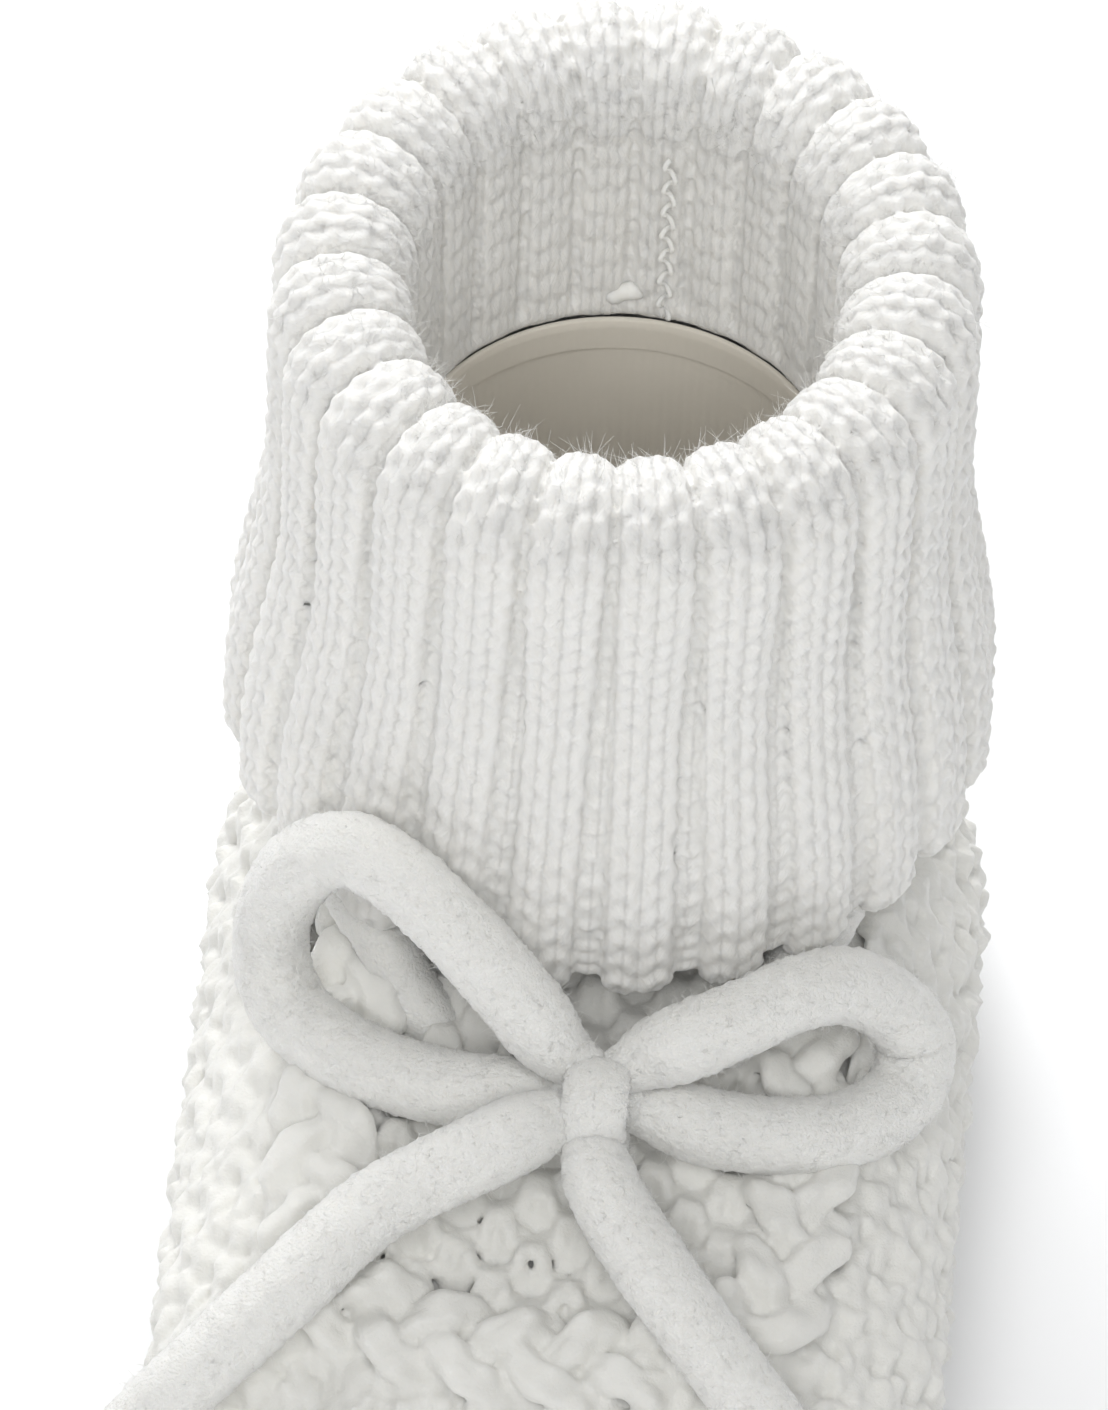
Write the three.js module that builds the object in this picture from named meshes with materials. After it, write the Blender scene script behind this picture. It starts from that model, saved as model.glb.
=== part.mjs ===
// A knitted baby bootie: a soft foot with a turned-down ribbed cuff and a tied cord bow.
// Millimetres, +Z up, toe towards -Y. The origin is under the middle of the foot, on the resting face.

import * as THREE from 'three';

// ---------------------------------------------------------------- driving dimensions

const gap = 0.3;                // between neighbouring pieces

const footLength = 104;         // toe bulge to heel bulge
const soleWidth = 49;           // flat sole, side to side
const heelBulge = 4;            // how far the knit swells past the sole at the heel
const toeBulge = 3.3;           // and at the toe
const footColumns = 56;         // facets round the foot
const footRows = 14;            // and up its side
const soleThickness = 3;
const insoleThickness = 3;
const insoleInset = 4.6;        // from the edge of the sole
const seamBand = 1.1;           // width of the edging yarn round the sole
const seamHeight = 1.8;

const knitWall = 2.4;           // knitted wall of the foot
const liningWall = 1;
const instepHeight = 32;        // where the foot's knit meets the leg
const neckRadius = 18.4;        // outside, at that height

const legFlare = 2.2;           // how far the leg widens above the neck
const legFlareHeight = 10;      // over this height, mostly
const legWall = 5.2;            // soft ribbed wall of the leg
const liningTop = 60;           // height of the lining's upper edge
const liningLip = 0.4;          // the leg overhangs that edge by this much
const foldInset = 1;            // the opening narrows by this much under the fold

const rimHeight = 84;           // top of the fold
const foldDepth = 5.5;          // height of the solid part of the fold
const cuffClearance = 1;        // between the turned-down layer and the leg
const cuffWall = 4.7;           // thickness of the turned-down layer, rib and folds together
const hemFlare = 2.2;           // how far it widens towards its hem
const hemWall = 4.1;            // and its thickness there
const hemLift = 3;              // the hem hangs this high over the instep
const hemRound = 1.6;           // rounding of the hem's outer edge
const hemStraight = 8;          // height over which the hem keeps its thickness

const seamRidgeWidth = 1.6;     // back seam, inside the leg
const seamRidgeDepth = 0.6;

const cordDiameter = 5;         // relaxed knitted cord, without its fuzz
const knotRadius = 4.9;

// ---------------------------------------------------------------- places worked out from them

const shaftY = footLength / 2 - soleWidth / 2 - heelBulge;    // axis of the leg
const toeCentreY = -footLength / 2 + toeBulge + soleWidth / 2;
const straightSide = shaftY - toeCentreY;
const legTopRadius = neckRadius + legFlare;                   // outside of the leg, under the fold
const throatRadius = legTopRadius - legWall;                  // inside of the leg just above the lining
const openingRadius = throatRadius - foldInset;
const liningRecess = throatRadius + liningLip + liningWall + gap;
const foldOuterRadius = legTopRadius + cuffClearance + cuffWall;
const hemRadius = foldOuterRadius + hemFlare;
const hemHeight = instepHeight + hemLift;

// The cord's route, chosen by hand: each loop leaves the knot and comes back to it.
const knotCentre = [2.4, -12.2, 31.4];
const leftLoopRoute = [
  [-0.9, -10.7, 35.3], [-3.3, -9.7, 38.1], [-6.3, -8.4, 41.3], [-10.2, -6.6, 44.6], [-14.2, -4.6, 46.8],
  [-18.2, -2.6, 46.8], [-21.8, -1.2, 43.2], [-24.0, -0.6, 37.6], [-24.4, -1.2, 32.4], [-22.8, -3.4, 29.0],
  [-18.3, -6.6, 28.6], [-12.6, -9.3, 28.9], [-7.4, -10.6, 29.4], [-2.8, -11.3, 30.2],
];
const rightLoopRoute = [
  [6.1, -10.4, 34.8], [9.0, -9.7, 36.4], [13.1, -7.6, 37.2], [17.3, -4.6, 37.2], [21.0, -2.0, 35.6],
  [24.8, -0.4, 31.8], [26.9, -0.9, 28.0], [26.0, -4.3, 25.6], [21.8, -8.9, 26.8], [16.2, -11.2, 28.2],
  [11.4, -11.9, 29.2], [7.7, -12.0, 30.3],
];
const leftTailRoute = [
  [-1.5, -16.0, 32.6], [-5.4, -19.0, 32.6], [-12.9, -22.6, 29.5], [-18.9, -28.3, 26.2], [-24.4, -32.3, 21.6],
  [-28.7, -34.2, 16.4], [-32.0, -36.4, 11.0], [-34.6, -39.2, 6.2], [-36.8, -43.0, 3.3], [-38.2, -47.6, 2.7],
  [-38.8, -52.4, 2.7], [-38.6, -57.2, 2.7],
];
const rightTailRoute = [
  [3.8, -17.5, 31.4], [5.0, -20.6, 30.9], [7.6, -23.9, 29.2], [11.5, -28.2, 26.9], [15.6, -32.2, 24.1],
  [19.2, -35.8, 21.4], [22.9, -39.4, 17.6], [26.4, -42.8, 12.9], [29.4, -46.2, 8.4], [32.0, -50.0, 4.8],
  [34.2, -54.6, 2.9], [35.8, -59.6, 2.7], [36.6, -64.6, 2.7],
];
const rightEyeletRoute = [[9.8, -5.9, 30.2], [12.4, -2.6, 30.7], [15.6, 2.6, 31.2], [17.6, 6.9, 31.6]];
const leftEyeletRoute = [[-17.4, 6.6, 31.6], [-14.6, 2.0, 31.2], [-10.4, -2.8, 30.7], [-7.0, -4.9, 30.5]];
const ankleRunRise = 1.7;       // height of the cord's middle over the neck's edge
const ankleRunFront = 72;       // degrees either side of the toe where it comes away from the leg

// ---------------------------------------------------------------- shared shapes

// One closed body from a surface given twice, at an outer and an inner depth, with its two rims joined.
function shell(surface, outerDepth, innerDepth, columns, rows) {
  const positions = [];
  for (const depth of [outerDepth, innerDepth]) {
    for (let row = 0; row <= rows; row++) {
      for (let column = 0; column < columns; column++) {
        positions.push(...surface(column / columns, row / rows, depth).toArray());
      }
    }
  }
  const layer = columns * (rows + 1);
  const at = (side, row, column) => side * layer + row * columns + (column % columns);
  const index = [];
  const quad = (a, b, c, d) => index.push(a, b, c, a, c, d);
  for (let column = 0; column < columns; column++) {
    const next = column + 1;
    for (let row = 0; row < rows; row++) {
      quad(at(0, row, column), at(0, row, next), at(0, row + 1, next), at(0, row + 1, column));
      quad(at(1, row, column), at(1, row + 1, column), at(1, row + 1, next), at(1, row, next));
    }
    quad(at(0, 0, next), at(0, 0, column), at(1, 0, column), at(1, 0, next));
    quad(at(0, rows, column), at(0, rows, next), at(1, rows, next), at(1, rows, column));
  }
  const geometry = new THREE.BufferGeometry();
  geometry.setAttribute('position', new THREE.Float32BufferAttribute(positions, 3));
  geometry.setIndex(index);
  geometry.computeVertexNormals();
  return geometry;
}

// A closed profile of [radius, height] points turned round the axis of the leg.
function turned(profile, segments = footColumns) {
  const points = [...profile, profile[0]].map(([radius, height]) => new THREE.Vector2(radius, height));
  const geometry = new THREE.LatheGeometry(points, segments);
  geometry.rotateX(Math.PI / 2);
  geometry.translate(0, shaftY, 0);
  return geometry;
}

// A round cord along a smooth curve through the route's points.
function cord(route, closed = false) {
  const curve = new THREE.CatmullRomCurve3(route.map((point) => new THREE.Vector3(...point)), closed);
  const sides = 10;
  const section = new THREE.Shape();
  for (let side = 0; side < sides; side++) {
    const angle = (side * 2 * Math.PI) / sides;
    const corner = [Math.cos(angle) * cordDiameter / 2, Math.sin(angle) * cordDiameter / 2];
    if (side === 0) section.moveTo(...corner);
    else section.lineTo(...corner);
  }
  section.closePath();
  const stepLength = 0.9 * cordDiameter;
  const steps = Math.max(6, Math.round(curve.getLength() / stepLength));
  return new THREE.ExtrudeGeometry(section, { steps, extrudePath: curve, bevelEnabled: false });
}

// ---------------------------------------------------------------- the foot's own surface

// The sole's outline, a heel and a toe half-circle with straight sides, set out from its edge by `outset`.
// `around` runs 0 to 1 from the toe, by way of +X, the heel and -X.
function soleEdge(around, outset = 0) {
  const radius = soleWidth / 2;
  const quarterArc = (Math.PI / 2) * radius;
  const perimeter = 4 * quarterArc + 2 * straightSide;
  const mirrored = around > 0.5;
  let run = (mirrored ? 1 - around : around) * perimeter;
  const side = mirrored ? -1 : 1;
  const reach = radius + outset;
  if (run < quarterArc) {
    const angle = run / radius;
    return new THREE.Vector2(side * reach * Math.sin(angle), toeCentreY - reach * Math.cos(angle));
  }
  run -= quarterArc;
  if (run < straightSide) return new THREE.Vector2(side * reach, toeCentreY + run);
  const angle = (run - straightSide) / radius;
  return new THREE.Vector2(side * reach * Math.cos(angle), shaftY + reach * Math.sin(angle));
}

function neckEdge(around, outset = 0) {
  const angle = around * 2 * Math.PI;
  const radius = neckRadius + outset;
  return new THREE.Vector2(radius * Math.sin(angle), shaftY - radius * Math.cos(angle));
}

// The foot's profile is one quartic curve. These place its inner control points, first at the heel, then at the
// toe: `swell` stands out from the sole by a multiple of the bulge, `crown` closes over the foot towards the neck.
const swellReach = [2.55 * heelBulge, 4.3 * toeBulge];
const swellHeight = [8.7, 11.7];
const crownShare = [1, 0.74];
const crownDrop = [4.5, 7.5];
const neckDrop = [6, 5];

// The knit rises from the sole's edge, swells, closes over the foot and turns up into the neck.
function footPoint(around, up) {
  const edge = soleEdge(around);
  const neck = neckEdge(around);
  const reach = edge.distanceTo(neck);
  const nearest = soleWidth / 2 - neckRadius;
  const farthest = straightSide + nearest;
  const forward = THREE.MathUtils.clamp((reach - nearest) / (farthest - nearest), 0, 1);
  const swell = soleEdge(around, THREE.MathUtils.lerp(...swellReach, forward ** 3));
  const crown = neck.clone().lerp(edge, THREE.MathUtils.lerp(...crownShare, forward));
  const base = soleThickness + gap;
  const controls = [
    [edge, base],
    [swell, base + THREE.MathUtils.lerp(...swellHeight, forward)],
    [crown, instepHeight - THREE.MathUtils.lerp(...crownDrop, forward)],
    [neck, instepHeight - THREE.MathUtils.lerp(...neckDrop, forward)],
    [neck, instepHeight],
  ];
  const weights = [1, 4, 6, 4, 1].map((binomial, k) => binomial * (1 - up) ** (4 - k) * up ** k);
  const point = new THREE.Vector3();
  controls.forEach(([place, height], k) => {
    point.add(new THREE.Vector3(place.x, place.y, height).multiplyScalar(weights[k]));
  });
  return point;
}

// The same surface, `depth` inside it.
function footSurface(around, up, depth) {
  const small = 0.002;
  const point = footPoint(around, up);
  const lower = footPoint(around, Math.max(0, up - small));
  const higher = footPoint(around, Math.min(1, up + small));
  const before = footPoint((around + 1 - small) % 1, up);
  const after = footPoint((around + small) % 1, up);
  const outward = after.sub(before).cross(higher.sub(lower)).normalize();
  return point.addScaledVector(outward, -depth);
}

// ---------------------------------------------------------------- the pieces

function solePlate(inset, bottom, thickness, columns = 64) {
  const outline = new THREE.Shape(Array.from({ length: columns }, (_, k) => soleEdge(k / columns, -inset)));
  const geometry = new THREE.ExtrudeGeometry(outline, { depth: thickness, bevelEnabled: false });
  geometry.translate(0, 0, bottom);
  return geometry;
}

const outsole = () => solePlate(0, 0, soleThickness);

const insole = () => solePlate(insoleInset, soleThickness + gap, insoleThickness);

// Edging yarn, sewn round the outside of the sole.
function soleSeam(columns = 64) {
  const ring = (outset) => Array.from({ length: columns }, (_, k) => soleEdge(k / columns, outset));
  const outline = new THREE.Shape(ring(gap + seamBand));
  outline.holes.push(new THREE.Path(ring(gap)));
  const geometry = new THREE.ExtrudeGeometry(outline, { depth: seamHeight, bevelEnabled: false });
  geometry.translate(0, 0, gap);
  return geometry;
}

const footUpper = () => shell(footSurface, 0, knitWall, footColumns, footRows);

// The lining lies against the foot's knit, then rises inside the leg to its own edge.
function lining() {
  const rowsInFoot = footRows - 1;
  const rowsInLeg = 4;
  const rows = rowsInFoot + rowsInLeg;
  const surface = (around, up, depth) => {
    const row = Math.round(up * rows);
    if (row < rowsInFoot) return footSurface(around, (row + 1) / footRows, depth);
    const climb = (row - rowsInFoot) / rowsInLeg;
    const widening = liningRecess - (neckRadius - knitWall);
    const inset = depth - climb * widening;
    const place = neckEdge(around, -inset);
    return new THREE.Vector3(place.x, place.y, THREE.MathUtils.lerp(instepHeight, liningTop, climb));
  };
  return shell(surface, knitWall + gap, knitWall + gap + liningWall, footColumns, rows);
}

// The inner layer of the ribbed leg, from the foot's knit up to the fold, stepped out round the lining.
function leg() {
  const top = rimHeight - foldDepth - gap;
  const bottom = instepHeight + gap;
  return turned([
    [neckRadius - knitWall, bottom],
    [neckRadius, bottom],
    [neckRadius + legFlare / 2, bottom + legFlareHeight],
    [legTopRadius, liningTop],
    [legTopRadius, top],
    [openingRadius, top],
    [throatRadius, liningTop + gap],
    [liningRecess, liningTop + gap],
  ]);
}

// The turned-down cuff: a rounded fold over the top of the leg, and a wall that flares to its hem.
function cuff() {
  const foldBase = rimHeight - foldDepth;
  const foldCentre = (openingRadius + foldOuterRadius) / 2;
  const foldHalf = (foldOuterRadius - openingRadius) / 2;
  const fold = [];
  const steps = 12;
  for (let step = 0; step <= steps; step++) {
    const angle = (step / steps) * Math.PI;
    fold.push([foldCentre + foldHalf * Math.cos(angle), foldBase + foldDepth * Math.sin(angle)]);
  }
  const wall = [];
  const rise = foldBase - hemHeight;
  for (const climb of [0.115, 0.25, 0.41, 0.62, 0.78]) {
    const narrowing = THREE.MathUtils.smoothstep(climb, 0.1, 0.65);
    wall.push([hemRadius - hemFlare * narrowing, hemHeight + rise * climb]);
  }
  const insideTop = legTopRadius + cuffClearance;
  const straightTop = foldBase - hemStraight;
  return turned([
    [hemRadius - hemWall, hemHeight],
    [hemRadius - hemRound / 2, hemHeight],
    [hemRadius, hemHeight + hemRound],
    ...wall,
    ...fold,
    [insideTop, foldBase],
    [insideTop, straightTop],
    [hemRadius - hemWall, hemHeight + hemStraight],
  ]);
}

// A sewn ridge up the inside of the leg at the heel.
function backSeam() {
  const margin = 1;
  const bottom = liningTop + margin;
  const top = rimHeight - foldDepth - margin;
  const height = top - bottom;
  const geometry = new THREE.BoxGeometry(seamRidgeWidth, seamRidgeDepth, height, 1, 1, 6);
  const lean = Math.atan2(throatRadius - openingRadius, height);
  geometry.rotateX(lean);
  const radius = (throatRadius + openingRadius) / 2 - gap - seamRidgeDepth / 2;
  geometry.translate(0, shaftY + radius, (bottom + top) / 2);
  return geometry;
}

// The stretch of the drawcord that goes round the ankle, hidden by the cuff.
function ankleRun() {
  const radius = neckRadius + 2 * gap + cordDiameter / 2;
  const stops = 14;
  const first = THREE.MathUtils.degToRad(ankleRunFront);
  const round = Array.from({ length: stops + 1 }, (_, k) => {
    const angle = first + (k / stops) * (2 * Math.PI - 2 * first);
    return [radius * Math.sin(angle), shaftY - radius * Math.cos(angle), instepHeight + ankleRunRise];
  });
  return cord([...rightEyeletRoute, ...round, ...leftEyeletRoute]);
}

function bowKnot() {
  const geometry = new THREE.SphereGeometry(knotRadius, 20, 14);
  geometry.translate(...knotCentre);
  return geometry;
}

// ---------------------------------------------------------------- assembly

const ivory = 0xf1efe8;
const finishes = {
  knit: new THREE.MeshStandardMaterial({ color: ivory, roughness: 0.95, metalness: 0 }),
  rib: new THREE.MeshStandardMaterial({ color: 0xf3f1eb, roughness: 0.95, metalness: 0 }),
  cord: new THREE.MeshStandardMaterial({ color: 0xeeece5, roughness: 0.97, metalness: 0 }),
  lining: new THREE.MeshStandardMaterial({ color: 0xd9d0bf, roughness: 0.9, metalness: 0 }),
  thread: new THREE.MeshStandardMaterial({ color: 0xf2efe6, roughness: 0.9, metalness: 0 }),
};

const pieces = [
  ['outsole', outsole(), 'knit'],
  ['insole', insole(), 'lining'],
  ['sole_seam', soleSeam(), 'thread'],
  ['foot_upper', footUpper(), 'knit'],
  ['lining', lining(), 'lining'],
  ['leg_rib', leg(), 'rib'],
  ['back_seam', backSeam(), 'thread'],
  ['cuff', cuff(), 'rib'],
  ['drawcord_ankle_run', ankleRun(), 'cord'],
  ['bow_knot', bowKnot(), 'cord'],
  ['bow_loop_left', cord(leftLoopRoute), 'cord'],
  ['bow_loop_right', cord(rightLoopRoute), 'cord'],
  ['cord_tail_left', cord(leftTailRoute), 'cord'],
  ['cord_tail_right', cord(rightTailRoute), 'cord'],
];

const bootie = new THREE.Group();
for (const [name, geometry, finish] of pieces) {
  const mesh = new THREE.Mesh(geometry, finishes[finish]);
  mesh.name = name;
  bootie.add(mesh);
}

export default bootie;
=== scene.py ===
import math

import bpy
import numpy as np
from mathutils import Matrix, Vector


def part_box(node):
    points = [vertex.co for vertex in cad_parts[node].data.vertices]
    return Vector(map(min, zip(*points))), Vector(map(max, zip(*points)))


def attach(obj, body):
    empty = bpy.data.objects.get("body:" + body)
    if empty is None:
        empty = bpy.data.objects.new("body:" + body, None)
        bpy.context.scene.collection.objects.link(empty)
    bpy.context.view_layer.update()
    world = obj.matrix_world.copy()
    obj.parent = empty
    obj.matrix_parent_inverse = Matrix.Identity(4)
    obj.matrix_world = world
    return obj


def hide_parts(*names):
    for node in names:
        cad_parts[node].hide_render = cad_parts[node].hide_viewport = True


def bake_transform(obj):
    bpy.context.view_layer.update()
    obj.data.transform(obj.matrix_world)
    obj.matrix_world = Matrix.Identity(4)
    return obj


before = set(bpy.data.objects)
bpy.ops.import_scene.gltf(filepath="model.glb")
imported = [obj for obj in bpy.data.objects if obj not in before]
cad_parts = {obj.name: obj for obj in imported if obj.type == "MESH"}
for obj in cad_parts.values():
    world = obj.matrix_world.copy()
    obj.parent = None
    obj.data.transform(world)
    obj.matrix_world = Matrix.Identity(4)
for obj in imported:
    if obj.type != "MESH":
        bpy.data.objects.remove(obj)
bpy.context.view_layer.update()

# ---------------------------------------------------------------- camera
# The eye stands high in front of the toe and a little to its right, far off with a long lens, and the head is
# tilted slightly. It looks at the cuff and the bow, so the toe runs out of the picture.
mm = 0.001
cuff_low, cuff_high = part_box("cuff")
shaft_x = (cuff_low.x + cuff_high.x) / 2
shaft_y = (cuff_low.y + cuff_high.y) / 2
view_azimuth = math.radians(3.2)
view_elevation = math.radians(48)
view_tilt = math.radians(2.4)
view_distance = 1.5
view_height = 104.4 * mm
view_aside = -4.0 * mm
view_below = -0.3 * mm
level = Vector((math.cos(view_azimuth), math.sin(view_azimuth), 0))
back = Vector((
    math.sin(view_azimuth) * math.cos(view_elevation),
    -math.cos(view_azimuth) * math.cos(view_elevation),
    math.sin(view_elevation),
))
rising = back.cross(level)
camera_right = level * math.cos(view_tilt) + rising * math.sin(view_tilt)
camera_up = rising * math.cos(view_tilt) - level * math.sin(view_tilt)
hem_centre = Vector((shaft_x, shaft_y, cuff_low.z))
eye = hem_centre + level * view_aside + rising * view_below + back * view_distance
camera_data = bpy.data.cameras.new("camera")
camera_data.lens = camera_data.sensor_width * view_distance / view_height
camera_data.clip_end = 20
camera = bpy.data.objects.new("camera", camera_data)
camera.matrix_world = Matrix((
    (camera_right.x, camera_up.x, back.x, eye.x),
    (camera_right.y, camera_up.y, back.y, eye.y),
    (camera_right.z, camera_up.z, back.z, eye.z),
    (0, 0, 0, 1),
))
bpy.context.scene.collection.objects.link(camera)
bpy.context.scene.camera = camera

# ---------------------------------------------------------------- drawcord
# One length of tubular knitting, soft and brushed, 5.7 mm thick. It goes round the ankle under the cuff, in
# and out of the eyelets over the instep, and is tied there in a bow with two loops and two tails.
rng = np.random.default_rng(7)
cord_diameter = 5.7
cord_wales = 9
cord_course = 1.7
cord_relief = 0.07
cord_step = 0.34
grain_scale = 0.1


def unit(vectors):
    """The same directions, each one unit long."""
    return vectors / np.maximum(np.linalg.norm(vectors, axis=-1, keepdims=True), 1e-9)


def smooth_step(low, high, value):
    """Rises softly from nought at `low` to one at `high`."""
    share = np.clip((value - low) / (high - low), 0, 1)
    return share * share * (3 - 2 * share)


def mixed(start, end, share):
    """The value `share` of the way from `start` to `end`."""
    return start + (end - start) * share


def through(points, spacing):
    """A smooth line through the points, in steps of about `spacing` millimetres."""
    points = np.asarray(points, float)
    ends = np.vstack([2 * points[0] - points[1], points, 2 * points[-1] - points[-2]])
    pieces = []
    for before, start, end, after in zip(ends, ends[1:], ends[2:], ends[3:]):
        t = np.linspace(0, 1, 24, endpoint=False)[:, None]
        pieces.append(0.5 * (
            2 * start + (end - before) * t + (2 * before - 5 * start + 4 * end - after) * t**2
            + (3 * start - before - 3 * end + after) * t**3
        ))
    line = np.vstack([*pieces, points[-1:]])
    run = np.concatenate([[0], np.cumsum(np.linalg.norm(np.diff(line, axis=0), axis=1))])
    steps = np.linspace(0, run[-1], max(2, round(run[-1] / spacing)) + 1)
    return np.column_stack([np.interp(steps, run, line[:, axis]) for axis in range(3)]), run[-1]


def sweep(centres, outward, radius, sides=6, closed=False, width=1.0):
    """Tubes round lines of shape (runs, points, 3). The seam of each lies on the side away from `outward`."""
    centres = np.asarray(centres, float)
    if centres.ndim == 2:
        centres = centres[None]
    runs, count, _ = centres.shape
    if closed:
        along = np.roll(centres, -1, 1) - np.roll(centres, 1, 1)
    else:
        along = np.gradient(centres, axis=1)
    along = unit(along)
    outward = np.broadcast_to(outward, centres.shape)
    beside = unit(np.cross(along, outward))
    above = np.cross(beside, along)
    radius = np.broadcast_to(radius, (runs, count))[..., None, None]
    turn = 2 * np.pi * np.arange(sides) / sides
    section = (
        -np.cos(turn)[:, None] * above[:, :, None] + np.sin(turn)[:, None] * beside[:, :, None] * width
    )
    vertices = centres[:, :, None] + radius * section
    index = np.arange(runs * count * sides).reshape(runs, count, sides)
    ahead = np.roll(index, -1, 1)
    here = index
    run = np.concatenate([
        np.zeros((runs, 1)), np.cumsum(np.linalg.norm(np.diff(centres, axis=1), axis=2), axis=1)
    ], axis=1)
    step_end = np.roll(run, -1, 1)
    step_end[:, -1] = run[:, -1] + np.linalg.norm(centres[:, 0] - centres[:, -1], axis=1)
    if not closed:
        ahead = ahead[:, :-1]
        here = here[:, :-1]
        step_end = step_end[:, :-1]
    beyond = run[:, : here.shape[1]]
    quads = np.stack([here, np.roll(here, -1, 2), np.roll(ahead, -1, 2), ahead], -1)
    girth = 2 * np.pi * float(np.mean(radius)) * np.arange(sides + 1) / sides
    first = np.broadcast_to(girth[:-1], here.shape)
    second = np.broadcast_to(girth[1:], here.shape)
    low = np.broadcast_to(beyond[..., None], here.shape)
    high = np.broadcast_to(step_end[..., None], here.shape)
    corners = np.stack([
        np.stack([low, first], -1), np.stack([low, second], -1),
        np.stack([high, second], -1), np.stack([high, first], -1),
    ], -2)
    quads = quads.reshape(-1, 4)
    corners = corners.reshape(-1, 4, 2)
    if not closed:
        rungs = np.arange(sides // 2 - 1)
        start = np.stack([rungs, sides - 1 - rungs, sides - 2 - rungs, rungs + 1], -1)
        firsts = index[:, 0][:, start]
        lasts = index[:, -1][:, start[:, ::-1]]
        caps = np.concatenate([firsts.reshape(-1, 4), lasts.reshape(-1, 4)])
        quads = np.concatenate([quads, caps])
        corners = np.concatenate([corners, np.zeros((len(caps), 4, 2))])
    return vertices.reshape(-1, 3), quads, corners


def piece_of(name, parts, finish):
    """One object from several (vertices, quads, corners) in millimetres."""
    offsets = np.cumsum([0] + [len(vertices) for vertices, _, _ in parts])
    vertices = np.concatenate([vertices for vertices, _, _ in parts]) * mm
    quads = np.concatenate([quads + offset for (_, quads, _), offset in zip(parts, offsets)])
    corners = np.concatenate([corners for _, _, corners in parts])
    mesh = bpy.data.meshes.new(name)
    mesh.from_pydata(vertices.tolist(), [], quads.tolist())
    layer = mesh.uv_layers.new(name="yarn")
    layer.data.foreach_set("uv", (corners * grain_scale).astype(np.float32).ravel())
    mesh.polygons.foreach_set("use_smooth", np.ones(len(quads), bool))
    mesh.materials.append(finish)
    mesh.update()
    piece = bpy.data.objects.new(name, mesh)
    bpy.context.scene.collection.objects.link(piece)
    return piece


def felted(parts, grain, easing):
    """The outer skin of many touching strands, as one surface with soft creases between them."""
    strands = piece_of("strands", parts, None)
    melt = strands.modifiers.new("melt", "REMESH")
    melt.mode = "VOXEL"
    melt.voxel_size = grain * mm
    ease = strands.modifiers.new("ease", "SMOOTH")
    ease.factor = easing
    ease.iterations = 1
    seen = strands.evaluated_get(bpy.context.evaluated_depsgraph_get())
    skin = seen.to_mesh()
    vertices = np.empty(len(skin.vertices) * 3)
    skin.vertices.foreach_get("co", vertices)
    quads = np.empty(len(skin.polygons) * 4, int)
    skin.polygons.foreach_get("vertices", quads)
    seen.to_mesh_clear()
    mesh = strands.data
    bpy.data.objects.remove(strands)
    bpy.data.meshes.remove(mesh)
    quads = quads.reshape(-1, 4)
    vertices = vertices.reshape(-1, 3) / mm
    return vertices, quads, vertices[quads][..., :2] * 0


def fibres(roots, ways, length, curl):
    """Loose fibre ends: thin tapering hairs that leave `roots` along `ways` and curl."""
    hair_radius = 0.03
    share = np.linspace(0, 1, 4)[None, :, None]
    reach = (length * rng.uniform(0.5, 1.3, len(roots)))[:, None, None]
    stray = unit(rng.normal(size=roots.shape))[:, None]
    second = unit(rng.normal(size=roots.shape))[:, None]
    line = (
        roots[:, None] + ways[:, None] * reach * share + stray * reach * curl * share**2
        + second * reach * curl * 0.35 * np.sin(share * 4.5)
    )
    taper = hair_radius * (1 - 0.75 * share[..., 0])
    aside = np.cross(ways, unit(rng.normal(size=roots.shape)))
    return sweep(line, aside[:, None], np.broadcast_to(taper, line.shape[:2]), sides=3)


def knitted_tube(route, diameter, pinch=0.0, hairs=1.0, outward=(0.0, 0.0, 1.0), width=1.0):
    """A brushed tubular knit along a route, `width` times as wide as it is thick."""
    roughness = 0.06
    hairs_per_mm = 26
    hair_length = 0.65
    pinched_run = 3.0
    least_height = 0.04
    sides = 36
    line, length = through(route, cord_step)
    count = len(line)
    along = unit(np.gradient(line, axis=0))
    outward = np.broadcast_to(outward, line.shape)
    outward = unit(outward - along * np.sum(along * outward, axis=1, keepdims=True) + 1e-4)
    run = np.linspace(0, length, count)
    at_end = np.minimum(run, length - run)
    squeeze = 1 - pinch * np.exp(-(at_end / pinched_run) ** 2)
    wander = np.interp(run, np.linspace(0, length, 12), rng.uniform(-0.03, 0.03, 12))
    radius = diameter / 2 * squeeze * (1 + wander)
    vertices, quads, corners = sweep(line, outward, radius, sides=sides, width=width)
    turn = np.arange(sides) / sides
    wale = (turn[None] * cord_wales + 0.02 * run[:, None]) % 1
    leg = np.abs(wale - 0.5) * 2
    course = run[:, None] / cord_course
    chevron = 0.5 + 0.5 * np.cos(2 * np.pi * (course - 0.55 * leg))
    groove = 1 - np.exp(-((leg - 1) / 0.22) ** 2) - 0.6 * np.exp(-(leg / 0.16) ** 2)
    relief = cord_relief * (chevron * 0.6 + groove * 0.8 - 0.8)
    relief = relief + roughness * rng.normal(size=relief.shape)
    shaped = vertices.reshape(count, sides, 3)
    away = unit(shaped - line[:, None])
    shaped = shaped + away * relief[..., None]
    number = int(hairs * length * hairs_per_mm)
    place = rng.integers(3, count - 3, number)
    round_it = rng.integers(0, sides, number)
    ways = unit(away[place, round_it] * 0.55 + along[place] * rng.normal(0, 0.8, (number, 1)))
    hair = fibres(shaped[place, round_it] - away[place, round_it] * 0.05, ways, hair_length, curl=0.7)
    shaped = shaped.reshape(-1, 3)
    for points in (shaped, hair[0]):
        points[:, 2] = np.maximum(points[:, 2], least_height)
    return [(shaped, quads, corners), hair], line, length


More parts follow.
